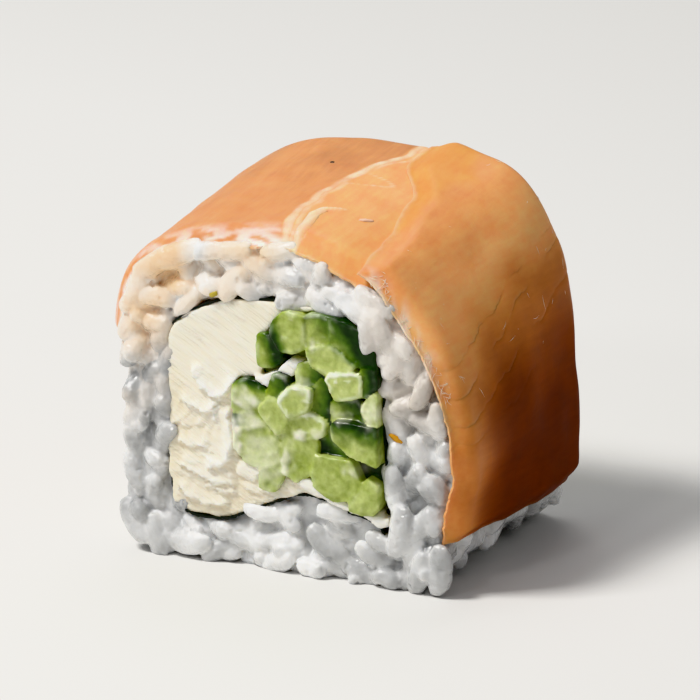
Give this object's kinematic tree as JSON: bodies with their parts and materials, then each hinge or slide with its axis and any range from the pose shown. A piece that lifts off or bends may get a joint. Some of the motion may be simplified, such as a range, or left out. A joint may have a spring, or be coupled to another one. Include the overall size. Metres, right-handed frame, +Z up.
{
  "type": "california roll piece",
  "caption": "One slice of an inside-out sushi roll standing on its rice, filled with cream cheese and cucumber, with thin cured fish draped over it.",
  "frame": {"origin": "middle of the footprint, on the surface that the slice stands on", "axes": "+X to the right across the cut face, +Y along the roll away from the front cut face, +Z up"},
  "size_m": [0.0412, 0.0316, 0.0395],
  "materials": {
    "rice": "moist cooked rice, translucent white, softly glossy",
    "nori": "damp dried seaweed, near black green, dull",
    "cream_cheese": "smooth off-white cheese with knife smears, dull",
    "cucumber": "wet cut cucumber, pale translucent green with dark green skin",
    "fish": "thin cured fish, translucent orange tan, oily gloss"
  },
  "bodies": {
    "root": {"rice": "rice", "nori": "nori", "cream_cheese": "cream_cheese", "cucumber": "cucumber", "fish_slice_left": "fish", "fish_slice_right": "fish"}
  },
  "joints": []
}
